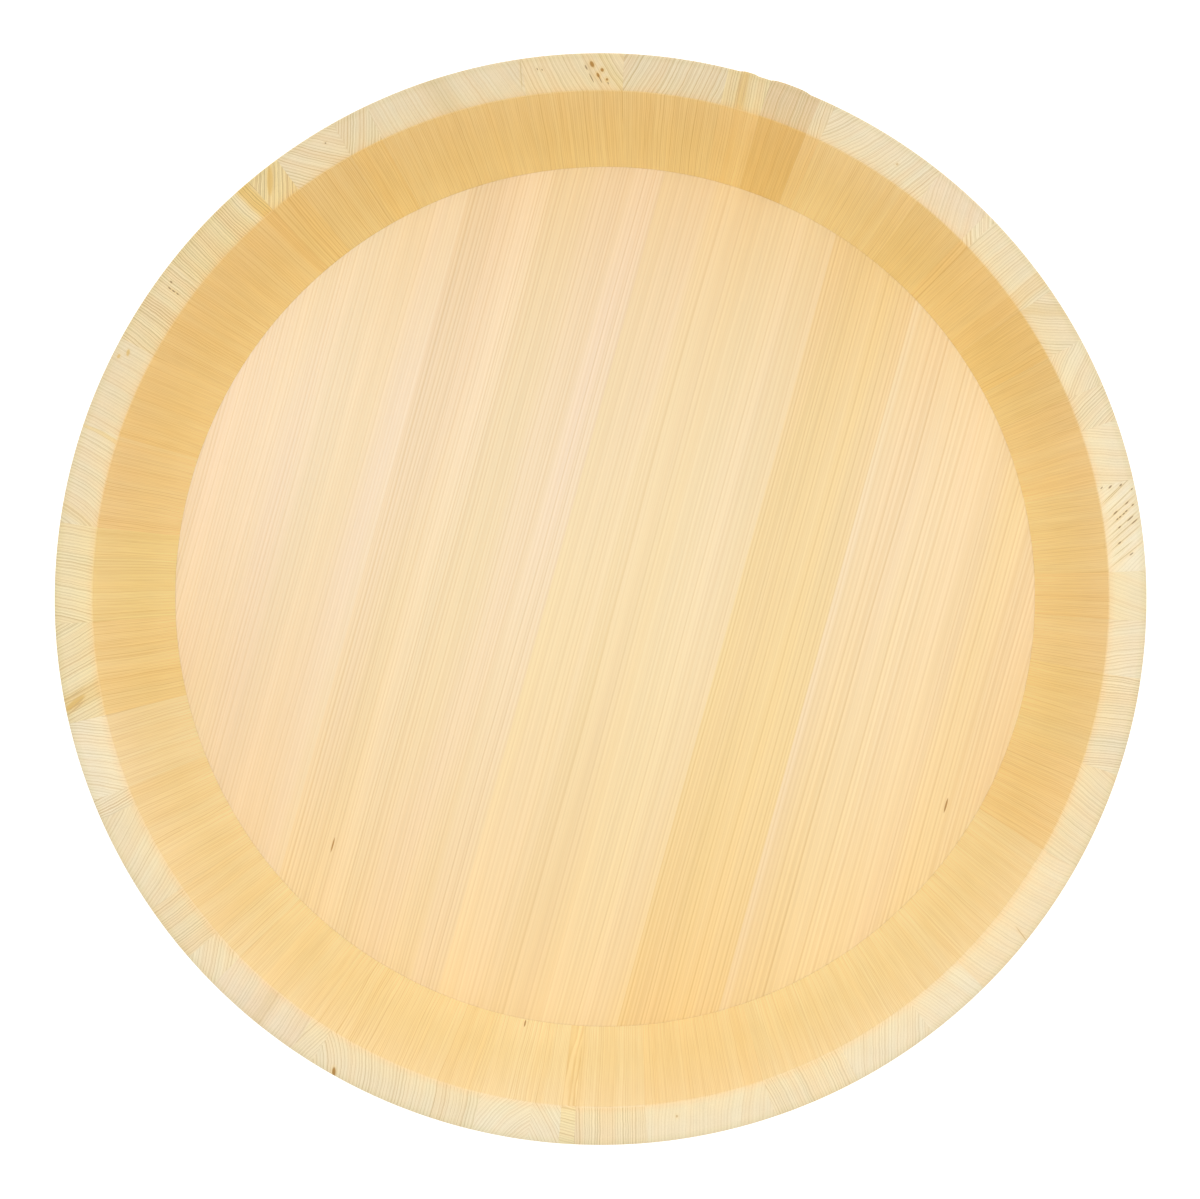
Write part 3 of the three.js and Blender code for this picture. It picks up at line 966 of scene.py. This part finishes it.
def copper_finish(colours):
    """Rolled copper with a satin face, toned in clouds and rubbed bright here and there."""
    metal = Finish("satin_copper")
    points = metal.place()
    clouds = metal.ease(metal.noise(points, COPPER_CLOUDS, detail=COPPER_CLOUD_DETAIL), *COPPER_CLOUD_SPAN)
    rolled = metal.noise(points, COPPER_ROLLING)
    toned = clouds * COPPER_CLOUD_TONE + rolled * COPPER_ROLLING_TONE
    return metal.surface(
        Base_Color=metal.mix(toned, colours.copper, colours.copper_toned),
        Metallic=1.0,
        Roughness=COPPER_ROUGHNESS + COPPER_CLOUD_ROUGHNESS * clouds + COPPER_ROLLING_ROUGHNESS * rolled,
        Normal=metal.bump(rolled, *COPPER_RELIEF),
    )


def outer_face(sizes, z):
    return sizes.rim_radius - (sizes.height - z) * math.tan(sizes.flare)


def inner_face(sizes, z):
    return outer_face(sizes, z) - sizes.wall


def middle_radius(sizes):
    return sizes.rim_radius - sizes.wall / 2


def above_hoops(sizes):
    return sizes.upper_hoop_foot + sizes.hoop_width + PROUD_GAP


def groove(sizes):
    """Top, foot and radius of the groove in the staves."""
    top = sizes.board_top + sizes.board_play
    foot = sizes.board_top - sizes.board_edge - sizes.board_play
    return top, foot, inner_face(sizes, top) + sizes.groove_depth


def hoops(sizes):
    """Node, lower edge and place of the lap of each hoop."""
    return (
        ("upper_hoop", sizes.upper_hoop_foot, sizes.upper_lap),
        ("lower_hoop", sizes.lower_hoop_foot, sizes.lower_lap),
    )


def rivet_seats(sizes, foot, lap):
    """Angle, place and turn of each of the two rivets of a lap, square to the wall."""
    z = foot + sizes.hoop_width / 2
    radius = outer_face(sizes, z)
    half = sizes.rivet_spacing / radius / 2
    seats = []
    for angle in (lap - half, lap + half):
        place = (radius * math.cos(angle), radius * math.sin(angle), z)
        seats.append((angle, place, (0.0, QUARTER_TURN + sizes.flare, angle)))
    return seats


def take(piece):
    bpy.ops.object.select_all(action="DESELECT")
    piece.select_set(True)
    bpy.context.view_layer.objects.active = piece


def settle(piece, place=ORIGIN, rotation=ORIGIN):
    """Moves and turns the piece, and puts its place, turn and size into its mesh."""
    take(piece)
    piece.location = place
    piece.rotation_euler = rotation
    bpy.ops.object.transform_apply(location=True, rotation=True, scale=True)


def rename(piece, name):
    piece.name = name
    piece.data.name = name
    return piece


def start(kind, name, place, rotation=ORIGIN, scale=(1.0, 1.0, 1.0), **settings):
    """Adds a primitive, alone in the selection."""
    bpy.ops.object.select_all(action="DESELECT")
    getattr(bpy.ops.mesh, f"primitive_{kind}_add")(**settings)
    piece = rename(bpy.context.object, name)
    piece.scale = scale
    settle(piece, place, rotation)
    return piece


def upright(name, thickness, height, radius, foot):
    """A plane that stands in XZ, with its middle at a radius."""
    place = (radius, 0.0, foot + height / 2)
    return start("plane", name, place, (QUARTER_TURN, 0.0, 0.0), (thickness, height, 1.0), size=1.0)


def pin(name, radius, low, high, place, rotation):
    """A plain round tool along its own Z axis."""
    middle = (0.0, 0.0, (low + high) / 2)
    piece = start("cylinder", name, middle, vertices=RIVET_SIDES, radius=radius, depth=high - low)
    settle(piece, place, rotation)
    return piece


def copy_of(pattern, name):
    take(pattern)
    bpy.ops.object.duplicate()
    return rename(bpy.context.object, name)


@contextmanager
def editing(piece):
    take(piece)
    bpy.ops.object.mode_set(mode="EDIT")
    yield
    bpy.ops.object.mode_set(mode="OBJECT")


def middle_of(part):
    if isinstance(part, bmesh.types.BMVert):
        return part.co
    return sum((corner.co for corner in part.verts), Vector()) / len(part.verts)


def pick(piece, parts, test):
    """Selects the corners, edges or faces whose middle passes the test, and nothing else."""
    modes = {"verts": "VERT", "edges": "EDGE", "faces": "FACE"}
    bpy.ops.mesh.select_mode(type=modes[parts])
    bpy.ops.mesh.select_all(action="DESELECT")
    shape = bmesh.from_edit_mesh(piece.data)
    for part in getattr(shape, parts):
        if test(middle_of(part)):
            part.select_set(True)
    shape.select_flush_mode()
    bmesh.update_edit_mesh(piece.data)


def pick_all():
    bpy.ops.mesh.select_all(action="SELECT")


def near(first, second):
    return abs(first - second) < LEVEL


def move(x, y, z):
    bpy.ops.transform.translate(value=(x, y, z))


def move_out(angle, distance):
    move(distance * math.cos(angle), distance * math.sin(angle), 0.0)


def widen(share, centre):
    bpy.ops.transform.resize(value=(share, share, 1.0), center_override=centre)


def extrude(rise):
    bpy.ops.mesh.extrude_region_move(TRANSFORM_OT_translate={"value": (0.0, 0.0, rise)})


def spin(sweep, steps):
    """Sweeps the whole mesh round the tub's axis."""
    pick_all()
    bpy.ops.mesh.spin(steps=steps, angle=-sweep, center=ORIGIN, axis=UP)


def cut(place, normal, **settings):
    """Cuts the selected faces along a plane."""
    bpy.ops.mesh.bisect(plane_co=place, plane_no=normal, threshold=ON_CUT, **settings)


def face_outwards():
    pick_all()
    bpy.ops.mesh.normals_make_consistent(inside=False)


def close_up():
    """Merges the corners that lie together and turns all faces outwards."""
    pick_all()
    bpy.ops.mesh.remove_doubles(threshold=MERGE)
    face_outwards()


def apply_modifier(piece, kind, **settings):
    take(piece)
    bpy.ops.object.modifier_add(type=kind)
    modifier = piece.modifiers[-1]
    for name, setting in settings.items():
        setattr(modifier, name, setting)
    bpy.ops.object.modifier_apply(modifier=modifier.name)


def bore(piece, tools):
    """Cuts the tools out of the piece and throws them away."""
    for tool in tools:
        apply_modifier(piece, "BOOLEAN", operation="DIFFERENCE", solver="EXACT", object=tool)
        bpy.data.objects.remove(tool)


def dress(piece, finish, node):
    """Smooths the piece, gives it its finish and sets it in the place of its solid."""
    take(piece)
    bpy.ops.object.shade_smooth_by_angle(angle=SMOOTH_ANGLE)
    piece.data.materials.clear()
    piece.data.materials.append(finish)
    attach(piece, BODY)
    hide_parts(node)


def stave_section(sizes, name):
    """The section of the wall in the XZ plane: flared, eased at rim and foot, and grooved for the base."""
    piece = upright(name, sizes.wall, sizes.height, middle_radius(sizes), 0.0)
    top, foot, deep = groove(sizes)
    eases = (
        (sizes.height, 1, sizes.rim_ease_outside, RIM_OUTSIDE_STEPS),
        (sizes.height, -1, sizes.rim_ease_inside, RIM_INSIDE_STEPS),
        (0.0, 1, sizes.foot_ease, 1),
        (0.0, -1, sizes.foot_ease, 1),
    )
    corner = CORNER_SHARE * sizes.wall
    with editing(piece):
        for z, side, ease, steps in eases:
            pick(piece, "verts", lambda at: near(at.z, z) and side * (at.x - middle_radius(sizes)) > corner)
            bpy.ops.mesh.bevel(offset=ease, segments=steps, affect="VERTICES", profile=0.5)
        for z in (foot, top, above_hoops(sizes)):
            pick_all()
            cut((0.0, 0.0, z), UP)
    lean_section(sizes, piece)
    with editing(piece):
        pick(piece, "faces", lambda at: foot < at.z < top)
        cut((deep, 0.0, 0.0), RIGHT)
        pick(piece, "faces", lambda at: foot < at.z < top and at.x < deep)
        bpy.ops.mesh.delete(type="FACE")
    return piece


def lean_section(sizes, piece):
    """Leans the upright section out by the flare, one level at a time."""
    with editing(piece):
        levels = sorted({round(corner.co.z, 6) for corner in bmesh.from_edit_mesh(piece.data).verts})
        for z in levels:
            pick(piece, "verts", lambda at: near(at.z, z))
            move(-(sizes.height - z) * math.tan(sizes.flare), 0.0, 0.0)


def raise_stave(sizes, piece, proud, begin, sweep, steps):
    """Moves a stave's outer face out above the hoops: most in the middle, nothing at the sides."""
    low, high = math.radians(proud.low), math.radians(proud.high)
    half_step = sweep / steps / 2
    for step in range(1, steps):
        turned = begin + sweep * step / steps
        share = 2 * (turned - low) / (high - low) - 1
        if abs(share) < 1:
            pick(
                piece, "verts",
                lambda at: at.z > above_hoops(sizes) + MM and at.xy.length > middle_radius(sizes)
                and abs(math.atan2(at.y, at.x) - turned) < half_step,
            )
            move_out(turned, proud.out * MM * (1 - share ** PROUD_FLATNESS))


def model_stave(sizes, section, name, stave, last):
    """Sweeps a copy of the section round the tub between two joints."""
    piece = copy_of(section, name)
    half_joint = sizes.joint / 2 / sizes.rim_radius
    begin = math.radians(stave.first) + half_joint
    sweep = math.radians(last) - half_joint - begin
    steps = math.ceil(sweep / (PROUD_STEP if stave.proud else STAVE_STEP))
    settle(piece, rotation=(0.0, 0.0, begin))
    with editing(piece):
        spin(sweep, steps)
        close_up()
        if stave.proud:
            raise_stave(sizes, piece, stave.proud, begin, sweep, steps)
    return piece


class TUB_OT_staves(bpy.types.Operator):
    """Build the wall from its staves"""

    bl_idname = "tub.staves"
    bl_label = "Staves"

    def execute(self, context):
        sizes, colours = context.scene.tub_sizes, context.scene.tub_colours
        section = stave_section(sizes, "stave_section")
        seats = [seat for _, foot, lap in hoops(sizes) for seat in rivet_seats(sizes, foot, lap)]
        radius = sizes.rivet_tail + sizes.clearance
        depth = 2 * sizes.clearance + sizes.rivet_tail_thickness
        ends = [stave.first for stave in STAVES[1:]] + [STAVES[0].first + 360.0]
        for number, (stave, last) in enumerate(zip(STAVES, ends), start=1):
            piece = model_stave(sizes, section, f"wall_stave_{number:02d}", stave, last)
            bore(piece, [
                pin("recess", radius, -depth, TOOL_REACH, place, rotation)
                for angle, place, rotation in seats if stave.first < math.degrees(angle) < last
            ])
            finish = stave_finish(sizes, colours, stave, last, number)
            dress(piece, finish, f"stave_{number:02d}")
        bpy.data.objects.remove(section)
        return {"FINISHED"}


def board_blank(sizes, name):
    """The whole round board: planed down a little at its upper edge and tapered below."""
    top, land = sizes.board_top, sizes.board_land
    edge_foot = top - sizes.board_edge
    radius = groove(sizes)[2] - sizes.board_play
    middle = (0.0, 0.0, top - sizes.board_edge / 2)
    piece = start("cylinder", name, middle, vertices=BOARD_SIDES, radius=radius, depth=sizes.board_edge)
    with editing(piece):
        pick(piece, "faces", lambda at: near(at.z, edge_foot))
        bpy.ops.mesh.inset(thickness=land)
        extrude(sizes.board_edge - sizes.board_thickness)
        widen(1 - sizes.board_taper / (radius - land), ORIGIN)
        pick(piece, "faces", lambda at: near(at.z, top))
        bpy.ops.mesh.inset(thickness=land)
        pick(piece, "verts", lambda at: near(at.z, top) and at.xy.length > radius - land / 2)
        move(0.0, 0.0, -sizes.board_ease)
    return piece


def model_plank(sizes, blank, name, left, right):
    """Saws a copy of the board along the plank's two sides."""
    piece = copy_of(blank, name)
    half_joint = sizes.board_joint / 2
    with editing(piece):
        pick_all()
        cut((left + half_joint, 0.0, 0.0), RIGHT, use_fill=True, clear_inner=True)
        pick_all()
        cut((right - half_joint, 0.0, 0.0), RIGHT, use_fill=True, clear_outer=True)
        close_up()
    return piece


class TUB_OT_base(bpy.types.Operator):
    """Build the base board from its planks"""

    bl_idname = "tub.base"
    bl_label = "Base planks"

    def execute(self, context):
        sizes, colours = context.scene.tub_sizes, context.scene.tub_colours
        blank = board_blank(sizes, "board_blank")
        sides = [plank.left * MM for plank in PLANKS] + [sizes.rim_radius]
        pegs = list(zip(sides[1:-1], PEG_PLACES))
        radius = sizes.peg_radius + sizes.clearance
        reach = sizes.peg_length / 2 + sizes.clearance
        z = sizes.board_top - sizes.board_edge / 2
        for number, plank in enumerate(PLANKS, start=1):
            left, right = sides[number - 1], sides[number]
            piece = model_plank(sizes, blank, f"floor_plank_{number}", left, right)
            bore(piece, [
                pin("peg_hole", radius, -reach, reach, (x, place * MM, z), (0.0, QUARTER_TURN, 0.0))
                for x, place in pegs if x in (left, right)
            ])
            settle(piece, rotation=(0.0, 0.0, sizes.grain_turn))
            dress(piece, board_finish(sizes, colours, plank, number), f"base_plank_{number}")
        bpy.data.objects.remove(blank)
        return {"FINISHED"}


class TUB_OT_pegs(bpy.types.Operator):
    """Finish the pegs between the base planks"""

    bl_idname = "tub.pegs"
    bl_label = "Pegs"

    def execute(self, context):
        finish = bamboo_finish(context.scene.tub_sizes, context.scene.tub_colours)
        for number in range(1, len(PEG_PLACES) + 1):
            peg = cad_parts[f"base_peg_{number}"]
            peg.data.materials.clear()
            peg.data.materials.append(finish)
        return {"FINISHED"}


def model_hoop(sizes, name, foot, lap_angle):
    """A strip bent round the wall, whose tail climbs over its start."""
    width, thickness = sizes.hoop_width, sizes.hoop_thickness
    lap = sizes.hoop_lap / outer_face(sizes, foot)
    begin = lap_angle - lap / 2
    plain = FULL_TURN - lap
    radius = outer_face(sizes, foot) + sizes.clearance + thickness / 2
    piece = upright(name, thickness, width, radius, foot)
    with editing(piece):
        pick(piece, "verts", lambda at: near(at.z, foot + width))
        move(width * math.tan(sizes.flare), 0.0, 0.0)
    settle(piece, rotation=(0.0, 0.0, begin))
    with editing(piece):
        spin(plain, math.ceil(plain / HOOP_STEP))
        climb_tail(begin + plain, lap, thickness + sizes.clearance)
        face_outwards()
    return piece


def climb_tail(angle, lap, lift):
    """Draws the open end of the strip on round the tub, rising over its start."""
    steps = math.ceil(2 * lap / HOOP_STEP)
    risen = 0.0
    for step in range(1, steps + 1):
        swing = 2 * lap * step / steps
        share = min(swing / (lap - TAIL_LEAD), 1.0)
        rise = lift * share * share * (3 - 2 * share)
        extrude(0.0)
        bpy.ops.transform.rotate(value=-2 * lap / steps, orient_axis="Z", center_override=ORIGIN)
        move_out(angle + swing, rise - risen)
        risen = rise


class TUB_OT_hoops(bpy.types.Operator):
    """Build the two copper hoops"""

    bl_idname = "tub.hoops"
    bl_label = "Hoops"

    def execute(self, context):
        sizes = context.scene.tub_sizes
        finish = copper_finish(context.scene.tub_colours)
        radius = sizes.rivet_shank + sizes.clearance
        for node, foot, lap in hoops(sizes):
            piece = model_hoop(sizes, f"copper_{node}", foot, lap)
            apply_modifier(piece, "BEVEL", width=HOOP_EDGE, segments=HOOP_EDGE_STEPS, limit_method="ANGLE")
            bore(piece, [
                pin("shank_hole", radius, -TOOL_REACH, TOOL_REACH, place, rotation)
                for _, place, rotation in rivet_seats(sizes, foot, lap)
            ])
            dress(piece, finish, node)
        return {"FINISHED"}


def model_rivet(sizes, name):
    """A rivet along Z: a domed head, a shank and a spread tail. Z is measured out from the wall."""
    head, shank = sizes.rivet_head, sizes.rivet_shank
    head_foot = 2 * (sizes.clearance + sizes.hoop_thickness) + sizes.clearance
    tail_top = -sizes.clearance
    piece = start(
        "uv_sphere", name, (0.0, 0.0, head_foot), scale=(head, head, sizes.rivet_dome),
        segments=RIVET_SIDES, ring_count=RIVET_RINGS, radius=1.0,
    )
    with editing(piece):
        pick_all()
        cut((0.0, 0.0, head_foot), UP, use_fill=True, clear_inner=True)
        pick(piece, "faces", lambda at: near(at.z, head_foot))
        bpy.ops.mesh.inset(thickness=head - shank)
        extrude(tail_top - head_foot)
        extrude(0.0)
        widen(sizes.rivet_tail / shank, (0.0, 0.0, tail_top))
        extrude(-sizes.rivet_tail_thickness)
        face_outwards()
    return piece


class TUB_OT_rivets(bpy.types.Operator):
    """Build the rivets of the hoops' laps"""

    bl_idname = "tub.rivets"
    bl_label = "Rivets"

    def execute(self, context):
        sizes = context.scene.tub_sizes
        finish = bpy.data.materials["satin_copper"]
        pattern = model_rivet(sizes, "rivet_pattern")
        for hoop, foot, lap in hoops(sizes):
            for number, (_, place, rotation) in enumerate(rivet_seats(sizes, foot, lap), start=1):
                node = f"{hoop}_rivet_{number}"
                piece = copy_of(pattern, f"copper_{node}")
                settle(piece, place, rotation)
                dress(piece, finish, node)
        bpy.data.objects.remove(pattern)
        return {"FINISHED"}


def floor_finish(colours):
    """A pale floor that glows where it is seen, so that it shows near white."""
    pale = Finish("pale_floor")
    pale.surface(Base_Color=colours.floor, Roughness=FLOOR_ROUGHNESS)
    glow = pale.node("ShaderNodeEmission", {"Strength": pale.seen() * FLOOR_GLOW})
    plain = Value(pale, pale.shader.outputs[0])
    both = pale.node("ShaderNodeAddShader", {"Shader": plain, "Shader_001": glow})
    pale.fill(pale.tree.nodes["Material Output"], {"Surface": both})
    return pale.material


def light_world():
    """Even white surroundings, full white where they are seen."""
    world = bpy.data.worlds.new("studio")
    bpy.context.scene.world = world
    world.use_nodes = True
    studio = Nodes(world.node_tree)
    level = studio.seen() * (1 - WORLD_LEVEL) + WORLD_LEVEL
    studio.fill(world.node_tree.nodes["Background"], {"Color": WHITE, "Strength": level})


def add_lamp(name, place, aim, size, power):
    bpy.ops.object.light_add(type="AREA", location=place)
    lamp = bpy.context.object
    lamp.name = name
    lamp.rotation_euler = (Vector(aim) - Vector(place)).to_track_quat("-Z", "Y").to_euler()
    lamp.data.shape = "DISK"
    lamp.data.size = size
    lamp.data.energy = power


def add_camera():
    bpy.ops.object.camera_add(location=Vector(CAMERA_PLACE) * MM, rotation=ORIGIN)
    camera = bpy.context.object
    camera.name = "camera"
    camera.data.sensor_width = SENSOR
    camera.data.lens = SENSOR * FOCAL_PIXELS / IMAGE_WIDTH
    camera.data.shift_x, camera.data.shift_y = (pixels / IMAGE_WIDTH for pixels in CAMERA_SHIFT)
    camera.data.clip_start = CLIP_START
    return camera


class TUB_OT_stage(bpy.types.Operator):
    """Set the floor, the light and the camera"""

    bl_idname = "tub.stage"
    bl_label = "Stage"

    def execute(self, context):
        scene = context.scene
        floor = start(
            "grid", "floor", (0.0, 0.0, -FLOOR_DROP),
            x_subdivisions=FLOOR_PARTS, y_subdivisions=FLOOR_PARTS, size=FLOOR_SIZE,
        )
        floor.data.materials.append(floor_finish(scene.tub_colours))
        light_world()
        for lamp in LAMPS:
            add_lamp(*lamp)
        scene.camera = add_camera()
        scene.view_settings.view_transform = "Standard"
        return {"FINISHED"}


class TUB_PT_panel(bpy.types.Panel):
    """Sizes, colours and build steps of the tub"""

    bl_idname = "TUB_PT_panel"
    bl_label = "Sushi rice tub"
    bl_space_type = "VIEW_3D"
    bl_region_type = "UI"
    bl_category = "Tub"

    def draw(self, context):
        for operator in BUILD_ORDER:
            self.layout.operator(operator.bl_idname)
        for group in (context.scene.tub_sizes, context.scene.tub_colours):
            box = self.layout.box()
            for name in group.bl_rna.properties.keys():
                if name not in ("rna_type", "name"):
                    box.prop(group, name)


BUILD_ORDER = (TUB_OT_staves, TUB_OT_base, TUB_OT_pegs, TUB_OT_hoops, TUB_OT_rivets, TUB_OT_stage)
CLASSES = (TubSizes, TubColours, *BUILD_ORDER, TUB_PT_panel)


def register():
    for item in CLASSES:
        bpy.utils.register_class(item)
    bpy.types.Scene.tub_sizes = PointerProperty(type=TubSizes)
    bpy.types.Scene.tub_colours = PointerProperty(type=TubColours)


def unregister():
    del bpy.types.Scene.tub_colours
    del bpy.types.Scene.tub_sizes
    for item in reversed(CLASSES):
        bpy.utils.unregister_class(item)


def main():
    register()
    bpy.ops.tub.staves()
    bpy.ops.tub.base()
    bpy.ops.tub.pegs()
    bpy.ops.tub.hoops()
    bpy.ops.tub.rivets()
    bpy.ops.tub.stage()


if __name__ == "__main__":
    main()
